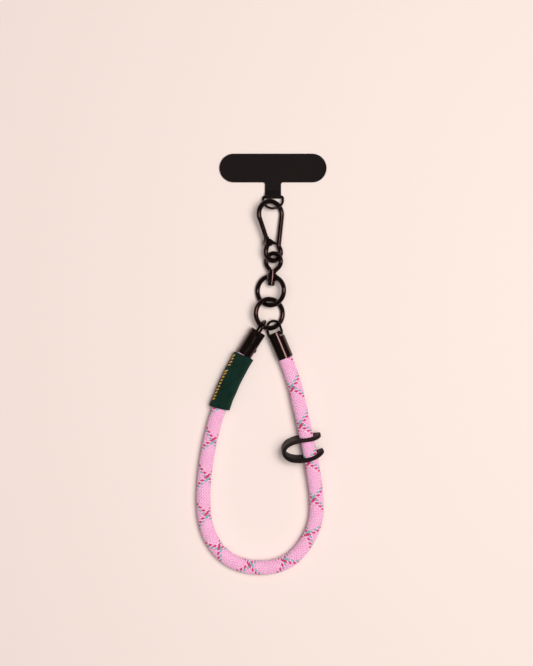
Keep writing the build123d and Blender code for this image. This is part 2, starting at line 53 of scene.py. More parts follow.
# The rope's route, from the bottom of the right cord end round to the bottom of the left one.
ROPE_ROUTE = (
    (0.00233, -0.09525, 0.00475),
    (0.01121, -0.11668, 0.00475),
    (0.01531, -0.13580, 0.0060),
    (0.02122, -0.16196, 0.0065),
    (0.02486, -0.18557, 0.0049),
    (0.02331, -0.20214, 0.00405),
    (0.01112, -0.21995, 0.00405),
    (-0.00691, -0.22463, 0.00405),
    (-0.02588, -0.21979, 0.00405),
    (-0.03771, -0.20365, 0.00405),
    (-0.03958, -0.17967, 0.00405),
    (-0.03447, -0.14564, 0.00405),
    (-0.02214, -0.11387, 0.00475),
    (-0.00985, -0.0942, 0.00475),
)
CAP_INSIDE = 12.2 * MM
LINE_STEP = 0.27 * MM

# The braid: how far yarns ride out over a crossing, how flat the floats are, and how their painted shade
# falls off towards flanks and dives, with a random spread of tone between yarns.
YARN_RISE = 0.25 * MM
YARN_SIDES = 6
FLOAT_FLATNESS = 1.5
FLOAT_SWELL = 0.1
END_SPREAD = 0.86
DRIFT = 0.03 * MM
DRIFT_WAVE = 3.7 * MM
CROWN_POWER = 1.6
# painted shade on the flanks and underside of each yarn, one value for each of its six sides
FLANK_SHADE = (0.42, 1.0, 1.0, 0.42, 0.3, 0.3)
YARN_TONE_SPREAD = 0.06
FILLER_RADIUS = 3.15 * MM
FILLER_SIDES = 20

# Where the two pairs of tracers cross: past the cord end, and degrees round the rope.
TRACER_CROSSING = 16.9 * MM
TRACER_ANGLE = 50

# Painted light for each strand: how much its crowns pale towards white as a painted highlight, and what its
# gaps are multiplied by as painted shade.
STRAND_PAINTED_LIGHT = {
    "pink": (0.62, (0.86, 0.16, 0.42)),
    "magenta": (0.05, (0.7, 0.6, 0.7)),
    "turquoise": (0.2, (0.55, 0.7, 0.7)),
}

# The label sleeve, and how it departs from a plain lens-shaped tube.
CLOTH = 0.32 * MM
SLEEVE_ROWS = 121
SLEEVE_SIDES = 72
SLEEVE_FLARE = 0.03
SLEEVE_ROUNDNESS = 0.86
SLEEVE_SKEW = 0.6 * MM
SLEEVE_BOW = 0.35 * MM
WRINKLES = 7
WRINKLE_DEPTH = 0.05 * MM
HEM_DEPTH = 0.10 * MM
HEM_AT = 0.9 * MM
HEM_WIDTH = 0.3 * MM
FLOOR_CLEAR = 0.05 * MM

# The stitched marks: degrees round the sleeve, shares of its length, and their three threads.
MARK_ANGLE = 180 - 34
MARK_FIRST = 0.07
MARK_SPAN = 0.80
MARK_LEFT_OUT = 4
THREAD_PITCH = 0.24 * MM
THREAD_HALF_WIDTH = 0.15 * MM
THREAD_HALF_THICK = 0.1 * MM
THREAD_RISE = 0.10 * MM
THREAD_SINK = 0.02 * MM

# The keeper: where along Y the painted highlight on its upper arm sets in, and how often its edges are
# smoothed.
LIT_FROM = -0.1605
LIT_TO = -0.1515
SMOOTH_PASSES = 7

# The stage: the point of the floor under the camera, the sensor, and the lamps.
VIEW_CENTRE = (-0.00364, -0.0924)
SENSOR = 36.0
FLOOR_HALF = 2.5
LAMP_AIM = (0.0, -0.1, 0.0)
ROOM_COLOR = (1.0, 0.96, 0.93, 1.0)
# name, place, size, colour, shows in shiny metal: the two big boxes would wash out the black plating
LAMPS = (
    ("key", (0.42, -0.13, 1.3), 0.75, (1.0, 0.975, 0.95), False),
    ("sky", (0.0, -0.1, 1.8), 2.0, (1.0, 0.98, 0.96), False),
    ("top", (0.37, 0.09, 1.5), 0.42, (1.0, 0.92, 0.9), True),
)

METAL_NODES = (
    "d_ring", "carabiner_body", "carabiner_gate", "gate_pin", "swivel_eye", "swivel_ring", "o_ring",
    "bail_left", "bail_right", "cap_left", "cap_right",
)


# ---------------------------------------------------------------- settings
class StageSettings(bpy.types.PropertyGroup):
    """Floor, lights and camera"""
    floor_color: FloatVectorProperty(
        name="Floor", description="Colour of the paper sweep", subtype="COLOR",
        default=(0.86, 0.75, 0.705), min=0.0, max=1.0)
    lens: FloatProperty(
        name="Lens", description="Focal length of the camera, in millimetres", default=85.0, min=20.0)
    frame_height: FloatProperty(
        name="Frame height", description="Height of the view on the floor", default=0.3734, unit="LENGTH")
    key_power: FloatProperty(
        name="Key light", description="Power of the big side softbox, in watts", default=10.5, min=0.0)
    sky_power: FloatProperty(
        name="Sky light", description="Power of the wide overhead softbox, in watts", default=13.0, min=0.0)
    top_power: FloatProperty(
        name="Top light", description="Power of the small overhead softbox, in watts", default=6.6, min=0.0)
    fill: FloatProperty(
        name="Fill", description="Brightness of the room", default=0.08, min=0.0)


class RopeSettings(bpy.types.PropertyGroup):
    """Braided rope"""
    diameter: FloatProperty(
        name="Diameter", description="Outside of the braid", default=8.0 * MM, unit="LENGTH")
    lead: FloatProperty(
        name="Lead", description="Length of rope in which a strand goes once round",
        default=21.0 * MM, unit="LENGTH")
    carriers: IntProperty(
        name="Carriers each way", description="Strands laid in each direction", default=12, min=4)
    ends: IntProperty(
        name="Ends", description="Parallel yarns on each carrier", default=2, min=1)
    yarn_width: FloatProperty(
        name="Yarn width", description="Width of one flattened yarn", default=0.68 * MM, unit="LENGTH")
    yarn_thickness: FloatProperty(
        name="Yarn thickness", description="Thickness of one yarn", default=0.58 * MM, unit="LENGTH")
    pink: FloatVectorProperty(
        name="Ground", description="Main strand colour", subtype="COLOR",
        default=(0.98, 0.36, 0.82), min=0.0, max=1.0)
    magenta: FloatVectorProperty(
        name="Magenta tracer", description="First tracer colour", subtype="COLOR",
        default=(0.78, 0.006, 0.14), min=0.0, max=1.0)
    turquoise: FloatVectorProperty(
        name="Turquoise tracer", description="Second tracer colour", subtype="COLOR",
        default=(0.17, 0.5, 0.53), min=0.0, max=1.0)


class FittingSettings(bpy.types.PropertyGroup):
    """Plated metal fittings"""
    plating: FloatVectorProperty(
        name="Plating", description="Black plating", subtype="COLOR",
        default=(0.0016, 0.0012, 0.0012), min=0.0, max=1.0)
    gloss: FloatProperty(
        name="Roughness", description="Roughness of the plating", default=0.13, min=0.0, max=1.0)


class PatchSettings(bpy.types.PropertyGroup):
    """Tether patch"""
    skin: FloatVectorProperty(
        name="Skin", description="Colour of the patch", subtype="COLOR",
        default=(0.0065, 0.0042, 0.0042), min=0.0, max=1.0)


class LabelSettings(bpy.types.PropertyGroup):
    """Woven label sleeve"""
    start: FloatProperty(
        name="Start", description="Distance from the left cord end", default=0.5 * MM, unit="LENGTH")
    length: FloatProperty(
        name="Length", description="Length along the rope", default=32.0 * MM, unit="LENGTH")
    half_width: FloatProperty(
        name="Half width", description="Half the width across the creases", default=5.7 * MM, unit="LENGTH")
    half_height: FloatProperty(
        name="Half height", description="Half the height over the rope", default=4.5 * MM, unit="LENGTH")
    green: FloatVectorProperty(
        name="Ground", description="Colour of the weave", subtype="COLOR",
        default=(0.0052, 0.024, 0.016), min=0.0, max=1.0)
    gold: FloatVectorProperty(
        name="Stitches", description="Colour of the stitched marks", subtype="COLOR",
        default=(0.72, 0.34, 0.03), min=0.0, max=1.0)
    marks: IntProperty(
        name="Marks", description="Stitched marks in the row", default=15, min=1)


class KeeperSettings(bpy.types.PropertyGroup):
    """Leather keeper"""
    leather: FloatVectorProperty(
        name="Leather", description="Colour of the strap", subtype="COLOR",
        default=(0.0105, 0.0062, 0.006), min=0.0, max=1.0)
    grain: FloatProperty(
        name="Remesh", description="Voxel size of the softened strap", default=0.26 * MM, unit="LENGTH")


# ---------------------------------------------------------------- material tools
class Finish:
    """A procedural material with helpers for its nodes."""

    def __init__(self, name):
        self.material = bpy.data.materials.new(name)
        self.material.use_nodes = True
        self.tree = self.material.node_tree
        self.shader = self.tree.nodes["Principled BSDF"]

    def node(self, kind, inputs=None, **values):
        made = self.tree.nodes.new(kind)
        for key, value in values.items():
            setattr(made, key, value)
        for key, value in (inputs or {}).items():
            socket = made.inputs[key]
            if isinstance(value, bpy.types.NodeSocket):
                self.tree.links.new(value, socket)
            else:
                socket.default_value = value
        return made

    def set(self, **values):
        """Constants on the shader's own sockets; underscores stand for spaces."""
        for key, value in values.items():
            self.shader.inputs[key.replace("_", " ")].default_value = value

    def feed(self, name, socket):
        self.tree.links.new(socket, self.shader.inputs[name])

    def object_space(self, scale=(1.0, 1.0, 1.0)):
        where = self.node("ShaderNodeTexCoord")
        made = self.node("ShaderNodeMapping", {"Vector": where.outputs["Object"], "Scale": scale})
        return made.outputs[0]

    def uv_space(self, scale, location=(0.0, 0.0, 0.0)):
        where = self.node("ShaderNodeUVMap", uv_map="along")
        made = self.node("ShaderNodeMapping", {
            "Vector": where.outputs[0], "Scale": scale, "Location": location})
        return made.outputs[0]

    def noise(self, vector, scale, detail=3.0, roughness=0.55):
        made = self.node("ShaderNodeTexNoise", {
            "Vector": vector, "Scale": scale, "Detail": detail, "Roughness": roughness})
        return made.outputs["Fac"]

    def ramp(self, value, low, high, low_at=0.0, high_at=1.0):
        made = self.node("ShaderNodeMapRange", {
            "Value": value, "From Min": low_at, "From Max": high_at, "To Min": low, "To Max": high})
        return made.outputs["Result"]

    def mix(self, factor, first, second):
        made = self.node("ShaderNodeMix", data_type="RGBA")
        for key, value in ((0, factor), (6, first), (7, second)):
            if isinstance(value, bpy.types.NodeSocket):
                self.tree.links.new(value, made.inputs[key])
            else:
                made.inputs[key].default_value = value
        return made.outputs[2]

    def bump(self, height, distance, strength=1.0, normal=None):
        inputs = {"Height": height, "Distance": distance, "Strength": strength}
        if normal is not None:
            inputs["Normal"] = normal
        return self.node("ShaderNodeBump", inputs).outputs["Normal"]


def rgba(color, gain=1.0):
    return tuple(min(1.0, c * gain) for c in color[:3]) + (1.0,)


def plating_finish(settings):
    made = Finish("black_plating")
    space = made.object_space()
    cloud = made.noise(space, 260.0, 2.0)
    peel = made.noise(space, 2600.0, 2.0)
    hair = made.noise(made.object_space((900.0, 5200.0, 2600.0)), 1.0, 4.0, 0.7)
    tint = made.mix(made.ramp(cloud, 0.0, 1.0, 0.3, 0.7), rgba(settings.plating), rgba(settings.plating, 2.2))
    made.feed("Base Color", tint)
    rough = made.node("ShaderNodeMath", {
        0: made.ramp(cloud, settings.gloss * 0.8, settings.gloss * 1.3, 0.3, 0.7),
        1: made.ramp(hair, 0.0, 0.08, 0.45, 0.75)}, operation="ADD").outputs[0]
    made.feed("Roughness", rough)
    made.feed("Normal", made.bump(hair, 0.004 * MM, 0.5, made.bump(peel, 0.01 * MM, 0.6)))
    made.set(Metallic=0.0, IOR=1.62, Specular_Tint=(1.0, 0.58, 0.55, 1.0))
    return made.material


def steel_finish(name, color, roughness):
    made = Finish(name)
    line = made.noise(made.object_space((400.0, 4000.0, 4000.0)), 1.0, 4.0, 0.7)
    made.feed("Base Color", made.mix(line, rgba(color, 0.7), rgba(color, 1.25)))
    made.feed("Roughness", made.ramp(line, roughness * 0.7, roughness * 1.4))
    made.feed("Normal", made.bump(line, 0.006 * MM, 0.6))
    made.set(Metallic=1.0)
    return made.material


def strand_finish(name, color, highlight, shade):
    """Twisted polyester filaments on each yarn, with painted light: a painted highlight where it rides high,
    painted shade where it dives and on its flanks.
    """
    made = Finish(name)
    filaments = made.node("ShaderNodeTexWave", {
        "Vector": made.uv_space((1.3, 4.0, 1.0)), "Scale": 1.0, "Distortion": 1.4, "Detail": 2.0,
        "Detail Scale": 1.4}, wave_type="BANDS", bands_direction="DIAGONAL").outputs["Fac"]
    blotch = made.noise(made.object_space(), 800.0, 3.0)
    fuzz = made.noise(made.object_space(), 5200.0, 2.0)
    tone = made.node("ShaderNodeAttribute", attribute_name="tone").outputs["Fac"]
    sway = made.ramp(filaments, -0.16, 0.16)
    height = made.node("ShaderNodeMath", {0: tone, 1: sway}, operation="ADD").outputs[0]
    # painted shade for the gaps and a painted highlight for the crowns, mixed by the per-point shade
    # attribute
    shaded = tuple(c * s for c, s in zip(color, shade)) + (1.0,)
    highlighted = tuple(c + (1.0 - c) * highlight for c in color) + (1.0,)
    ground = made.mix(made.ramp(height, 0.0, 1.0, 0.3, 0.85), shaded, highlighted)
    made.feed("Base Color", made.mix(made.ramp(blotch, 0.0, 0.4, 0.45, 0.7), ground, rgba(color)))
    made.feed("Roughness", made.ramp(fuzz, 0.6, 0.8, 0.3, 0.7))
    made.feed("Normal", made.bump(fuzz, 0.03 * MM, 0.4, made.bump(filaments, 0.05 * MM, 0.7)))
    made.set(Sheen_Weight=0.12, Sheen_Roughness=0.4, Specular_IOR_Level=0.35)
    return made.material


def core_finish(color):
    made = Finish("core_fibre")
    fibre = made.noise(made.object_space((1500.0, 300.0, 1500.0)), 1.0, 5.0, 0.7)
    made.feed("Base Color", made.mix(fibre, rgba(color, 0.6), rgba(color)))
    made.feed("Roughness", made.ramp(fibre, 0.75, 0.95))
    made.feed("Normal", made.bump(fibre, 0.08 * MM, 0.8))
    made.set(Sheen_Weight=0.3)
    return made.material


def patch_finish(settings, name="patch_skin", gain=1.0):
    """Thin matte film over a fine cloth, with a faint pebble."""
    made = Finish(name)
    space = made.object_space()
    pebble = made.node("ShaderNodeTexVoronoi", {"Vector": space, "Scale": 3400.0}, feature="SMOOTH_F1")
    cloud = made.noise(space, 90.0, 4.0)
    patches = made.ramp(cloud, 0.0, 1.0, 0.35, 0.65)
    tint = made.mix(patches, rgba(settings.skin, gain), rgba(settings.skin, 1.5 * gain))
    speck = made.ramp(made.noise(space, 5200.0, 1.0), 0.0, 0.5, 0.62, 0.75)
    made.feed("Base Color", made.mix(speck, tint, rgba(settings.skin, 3.2 * gain)))
    made.feed("Roughness", made.ramp(cloud, 0.62, 0.78, 0.3, 0.7))
    made.feed("Normal", made.bump(pebble.outputs["Distance"], 0.03 * MM, 0.7))
    made.set(Specular_IOR_Level=0.2)
    return made.material


def weave_finish(settings):
    """Satin weave: picks across the ribbon over fine warp ends, from uv in millimetres."""
    made = Finish("label_weave")
    picks = made.node("ShaderNodeTexWave", {
        "Vector": made.uv_space((1.0, 1.0, 1.0)), "Scale": 1.15, "Distortion": 0.5, "Detail": 1.0},
        wave_type="BANDS", bands_direction="X").outputs["Fac"]
    ends = made.node("ShaderNodeTexWave", {
        "Vector": made.uv_space((1.0, 1.0, 1.0)), "Scale": 1.6, "Distortion": 0.4, "Detail": 1.0},
        wave_type="BANDS", bands_direction="Y").outputs["Fac"]
    cloth = made.node("ShaderNodeMath", {0: picks, 1: ends}, operation="MULTIPLY").outputs[0]
    soft = made.noise(made.uv_space((0.12, 0.3, 1.0)), 1.0, 4.0)
    tint = made.mix(made.ramp(cloth, 0.0, 0.8), rgba(settings.green, 0.55), rgba(settings.green, 1.5))
    made.feed("Base Color", made.mix(made.ramp(soft, 0.0, 0.45, 0.35, 0.7), tint, rgba(settings.green, 1.9)))
    made.feed("Roughness", made.ramp(soft, 0.6, 0.8))
    made.feed("Normal", made.bump(cloth, 0.09 * MM, 0.85))
    made.set(Sheen_Weight=0.08, Sheen_Roughness=0.5, Sheen_Tint=(0.4, 0.9, 0.7, 1.0), Specular_IOR_Level=0.12)
    return made.material


def thread_finish(color):
    made = Finish("gold_thread")
    twist = made.node("ShaderNodeTexWave", {
        "Vector": made.uv_space((3.2, 3.0, 1.0)), "Scale": 1.0, "Distortion": 0.6},
        wave_type="BANDS", bands_direction="DIAGONAL").outputs["Fac"]
    made.feed("Base Color", made.mix(twist, rgba(color, 0.55), rgba(color, 1.5)))
    made.feed("Roughness", made.ramp(twist, 0.35, 0.6))
    made.feed("Normal", made.bump(twist, 0.03 * MM, 0.8))
    made.set(Specular_IOR_Level=0.6, Sheen_Weight=0.2)
    return made.material


def leather_finish(settings):
    """Full-grain leather: pebbled cells, fine creases, and a painted highlight in lighter brown patches on
    the upper arm.
    """
    made = Finish("keeper_leather")
    space = made.object_space()
    cells = made.node("ShaderNodeTexVoronoi", {"Vector": space, "Scale": 1500.0}, feature="DISTANCE_TO_EDGE")
    grain = made.ramp(cells.outputs["Distance"], 0.0, 1.0, 0.0, 0.25)
    crease = made.noise(made.object_space((260.0, 900.0, 420.0)), 1.0, 5.0, 0.65)
    cloud = made.noise(space, 140.0, 4.0)
    dark = made.mix(cloud, rgba(settings.leather, 0.55), rgba(settings.leather, 1.2))
    # painted highlight: the upper arm is made lighter and browner than the lower one, in patches, where the
    # light falls on it
    height = made.node("ShaderNodeSeparateXYZ", {"Vector": space}).outputs["Y"]
    upper_arm_lit = made.ramp(height, 0.0, 1.0, LIT_FROM, LIT_TO)
    lit_brown = tuple(c * s for c, s in zip(settings.leather, (3.4, 2.9, 2.7))) + (1.0,)
    light_patches = made.ramp(crease, 0.05, 0.9, 0.42, 0.75)
    painted_highlight = made.node("ShaderNodeMath", {0: upper_arm_lit, 1: light_patches}, operation="MULTIPLY").outputs[0]
    # the painted highlight is mixed over the dark leather here
    made.feed("Base Color", made.mix(painted_highlight, dark, lit_brown))
    made.feed("Roughness", made.ramp(crease, 0.5, 0.72, 0.3, 0.75))
    made.feed("Normal", made.bump(grain, 0.03 * MM, 0.5, made.bump(crease, 0.06 * MM, 0.6)))
    made.set(Specular_IOR_Level=0.16)
    return made.material


def floor_finish(settings):
    made = Finish("paper_floor")
    tooth = made.noise(made.object_space(), 900.0, 3.0)
    made.feed("Base Color", made.mix(tooth, rgba(settings.floor_color, 0.985), rgba(settings.floor_color)))
    made.feed("Normal", made.bump(tooth, 0.02 * MM, 0.15))
    made.set(Roughness=0.9, Specular_IOR_Level=0.12)
    return made.material


# ---------------------------------------------------------------- mesh tools
def add_mesh(name, points, faces, material, uvs=None, shades_and_tones=None):
    """A smooth mesh object from arrays; uvs and painted shades with tones are given for each point."""
    mesh = bpy.data.meshes.new(name)
    mesh.from_pydata(np.asarray(points).tolist(), [], faces)
    mesh.polygons.foreach_set("use_smooth", [True] * len(mesh.polygons))
    if uvs is not None:
        corners = np.empty(len(mesh.loops), dtype=np.int32)
        mesh.loops.foreach_get("vertex_index", corners)
        layer = mesh.uv_layers.new(name="along")
        layer.data.foreach_set("uv", np.asarray(uvs, dtype=np.float32)[corners].ravel())
    if shades_and_tones is not None:
        attribute = mesh.attributes.new("tone", "FLOAT", "POINT")
        attribute.data.foreach_set("value", np.asarray(shades_and_tones, dtype=np.float32))
    mesh.materials.append(material)
    mesh.update()
    piece = bpy.data.objects.new(name, mesh)
    bpy.context.scene.collection.objects.link(piece)
    return piece


def dress(node, material):
    """Give a CAD node its material."""
    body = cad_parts[node]
    body.data.materials.clear()
    body.data.materials.append(material)


def unit(vectors):
    return vectors / np.linalg.norm(vectors, axis=-1, keepdims=True)


def tube_grid(centres, outward, half_wide, half_thick, sides):
    """Points, faces and uvs (mm along, turns round) of a flattened, closed tube along centres."""
    tangents = unit(np.gradient(centres, axis=0))
    wide = unit(np.cross(tangents, outward))
    outward = np.cross(wide, tangents)
    turn = np.arange(sides) * 2 * math.pi / sides
    ring_wide = np.cos(turn)[None, :, None] * half_wide
    ring_out = np.sin(turn)[None, :, None] * half_thick
    points = centres[:, None, :] + wide[:, None, :] * ring_wide + outward[:, None, :] * ring_out
    rows = len(centres)
    first = np.arange(rows - 1)[:, None] * sides + np.arange(sides)[None, :]
    second = np.arange(rows - 1)[:, None] * sides + (np.arange(sides)[None, :] + 1) % sides
    faces = np.stack([first, second, second + sides, first + sides], axis=-1).reshape(-1, 4).tolist()
    faces.append(list(range(sides))[::-1])
    faces.append([(rows - 1) * sides + i for i in range(sides)])
    steps = np.linalg.norm(np.diff(centres, axis=0), axis=1)
    along = np.concatenate([[0.0], np.cumsum(steps)]) / MM
    uvs = np.stack([np.repeat(along, sides), np.tile(np.arange(sides) / sides, rows)], axis=-1)
    return points.reshape(-1, 3), faces, uvs


def join_grids(grids):
    """One set of arrays from several tubes of points, faces, uvs, and painted shades with tones."""
    points, faces, uvs, shades_and_tones = [], [], [], []
    offset = 0
    for some, quads, uv, tone in grids:
        points.append(some)
        faces.extend([[i + offset for i in face] for face in quads])
        uvs.append(uv)
        shades_and_tones.append(tone)
        offset += len(some)
    return np.concatenate(points), faces, np.concatenate(uvs), np.concatenate(shades_and_tones)


# ---------------------------------------------------------------- rope line
class RopeLine:
    """The rope's centreline, read from its NURBS spline and spaced evenly."""

    def __init__(self):
        curve = bpy.data.curves.new("rope_route", "CURVE")
        curve.dimensions = "3D"
        spline = curve.splines.new("NURBS")
        spline.points.add(len(ROPE_ROUTE) - 1)
        for point, place in zip(spline.points, ROPE_ROUTE):
            point.co = (*place, 1.0)
        spline.order_u = 3
        spline.use_endpoint_u = True
        spline.resolution_u = 24
        carrier = bpy.data.objects.new("rope_route", curve)
        line = bpy.data.meshes.new_from_object(carrier)
        raw = np.array([v.co[:] for v in line.vertices])
        bpy.data.objects.remove(carrier)
        bpy.data.curves.remove(curve)
        bpy.data.meshes.remove(line)
        steps = np.linalg.norm(np.diff(raw, axis=0), axis=1)
        run = np.concatenate([[0.0], np.cumsum(steps)])
        self.length = run[-1]
        count = int(self.length / LINE_STEP) + 1
        self.at = np.linspace(0.0, self.length, count)
        self.points = np.stack([np.interp(self.at, run, raw[:, i]) for i in range(3)], axis=-1)
        tangents = unit(np.gradient(self.points, axis=0))
        # side points into the loop, up points away from the floor
        self.side = unit(np.cross(tangents, (0.0, 0.0, 1.0)))
        self.up = np.cross(self.side, tangents)

    def sample(self, distance):
        """Place, side and up at distances along the rope."""
        def pick(table):
            return np.stack([np.interp(distance, self.at, table[:, i]) for i in range(3)], axis=-1)
        return pick(self.points), unit(pick(self.side)), unit(pick(self.up))


def yarn_grid(line, settings, hand, number, end, waver):
    """One yarn of a one-over, one-under braid, with painted shade and highlight from its height in the weave;
    hand is 1 or -1.
    """
    carriers = settings.carriers
    shift = (end - (settings.ends - 1) / 2) * END_SPREAD / settings.ends
    angle = 2 * math.pi * (hand * line.at / settings.lead + (number + shift) / carriers)
    carrier_angle = 2 * math.pi * (hand * line.at / settings.lead + number / carriers)
    # Round the rope there are two columns for each carrier, and each hand lies on top in every other one.
    weave = np.cos(carrier_angle * carriers) * hand
    lift = np.tanh(FLOAT_FLATNESS * weave) / math.tanh(FLOAT_FLATNESS)
    half_thick = settings.yarn_thickness / 2
    radius = settings.diameter / 2 - half_thick - YARN_RISE + YARN_RISE * lift
    radius = radius + waver * DRIFT * np.sin(line.at / DRIFT_WAVE + 9 * waver)
    outward = line.side * np.cos(angle)[:, None] + line.up * np.sin(angle)[:, None]
    centres = line.points + outward * radius[:, None]
    wide = (settings.yarn_width / 2 * (1.0 + FLOAT_SWELL * lift))[:, None, None]
    points, faces, uvs = tube_grid(centres, outward, wide, half_thick, YARN_SIDES)
    # painted light: 1 on top of each float for a painted highlight, falling as painted shade towards its
    # flanks and where it dives, plus a random tone for each yarn
    crown = np.clip(0.5 + 0.5 * weave, 0, 1) ** CROWN_POWER
    tone = crown[:, None] * np.array(FLANK_SHADE)[None, :] + YARN_TONE_SPREAD * waver
    return points, faces, uvs, tone.ravel()


# ---------------------------------------------------------------- operators
class STRAP_OT_stage(bpy.types.Operator):
    """Lay out the pale floor, the softboxes and the camera straight above"""
    bl_idname = "strap.stage"
    bl_label = "Stage"

    def execute(self, context):
        settings = context.scene.strap_stage
        scene = context.scene
        scene.view_settings.view_transform = "Standard"
        distance = settings.frame_height * settings.lens / SENSOR
        lens = bpy.data.cameras.new("camera")
        lens.lens = settings.lens
        lens.sensor_width = SENSOR
        camera = bpy.data.objects.new("camera", lens)
        camera.location = (*VIEW_CENTRE, distance)
        scene.collection.objects.link(camera)
        scene.camera = camera

        signs = ((-1, -1), (1, -1), (1, 1), (-1, 1))
        corners = [(x * FLOOR_HALF, y * FLOOR_HALF, 0) for x, y in signs]
        floor = add_mesh("floor", corners, [(0, 1, 2, 3)], floor_finish(settings))

        for name, place, size, color, in_metal in LAMPS:
            lamp = self.softbox(name, place, size, getattr(settings, f"{name}_power"), color)
            lamp.visible_glossy = in_metal
        world = bpy.data.worlds.new("room")
        world.use_nodes = True
        backdrop = world.node_tree.nodes["Background"]
        backdrop.inputs["Color"].default_value = ROOM_COLOR
        backdrop.inputs["Strength"].default_value = settings.fill
        scene.world = world
        return {"FINISHED"}

    def softbox(self, name, place, size, power, color):
        light = bpy.data.lights.new(name, "AREA")
        light.size = size
        light.energy = power
        light.color = color
        lamp = bpy.data.objects.new(name, light)
        lamp.location = place
        aim = Vector(LAMP_AIM) - Vector(place)
        lamp.rotation_euler = aim.to_track_quat("-Z", "Y").to_euler()
        bpy.context.scene.collection.objects.link(lamp)
        return lamp


class STRAP_OT_rope(bpy.types.Operator):
    """Braid the rope along its route, strand by strand"""
    bl_idname = "strap.rope"
    bl_label = "Rope"

    def execute(self, context):
        settings = context.scene.strap_rope
        line = RopeLine()
        seed = random.Random(11)
        finishes = {
            name: strand_finish(f"strand_{name}", getattr(settings, name), *painted_light)
            for name, painted_light in STRAND_PAINTED_LIGHT.items()}

        crossing_angle = math.radians(TRACER_ANGLE)
        shift = (CAP_INSIDE + TRACER_CROSSING) / settings.lead
        right_turn = crossing_angle / (2 * math.pi) - shift
        left_turn = crossing_angle / (2 * math.pi) + shift
        right_pair = round(right_turn * settings.carriers)
        left_pair = round(left_turn * settings.carriers)
        roles = {
            (1, right_pair % settings.carriers): "magenta",
            (1, (right_pair + 1) % settings.carriers): "turquoise",
            (-1, left_pair % settings.carriers): "turquoise",
            (-1, (left_pair + 1) % settings.carriers): "magenta",
        }
        groups = {}
        for hand, side in ((1, "right"), (-1, "left")):
            for number in range(settings.carriers):
                plain = f"pink_{side}_{'a' if number % 2 else 'b'}"
                role = roles.get((hand, number), plain)
                for end in range(settings.ends):
                    yarn = yarn_grid(line, settings, hand, number, end, seed.uniform(-1, 1))
                    groups.setdefault(role, []).append(yarn)
        made = {}
        for role, grids in groups.items():
            points, faces, uvs, shades_and_tones = join_grids(grids)
            finish = finishes.get(role, finishes["pink"])
            made[role] = add_mesh(f"braid_{role}", points, faces, finish, uvs, shades_and_tones)

        # filler tube that closes the gaps between strands, at zero so it takes the strands' painted shade
        points, faces, uvs = tube_grid(line.points, line.up, FILLER_RADIUS, FILLER_RADIUS, FILLER_SIDES)
        filler = add_mesh("braid_filler", points, faces, finishes["pink"], uvs, np.zeros(len(points)))
        for piece in (*made.values(), filler):
            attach(piece, "strap")
            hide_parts("rope_sheath")
        first = made.pop("pink_right_a")
        tuple(line.points[0])
        dress("rope_core", core_finish((0.8, 0.76, 0.72)))
        return {"FINISHED"}


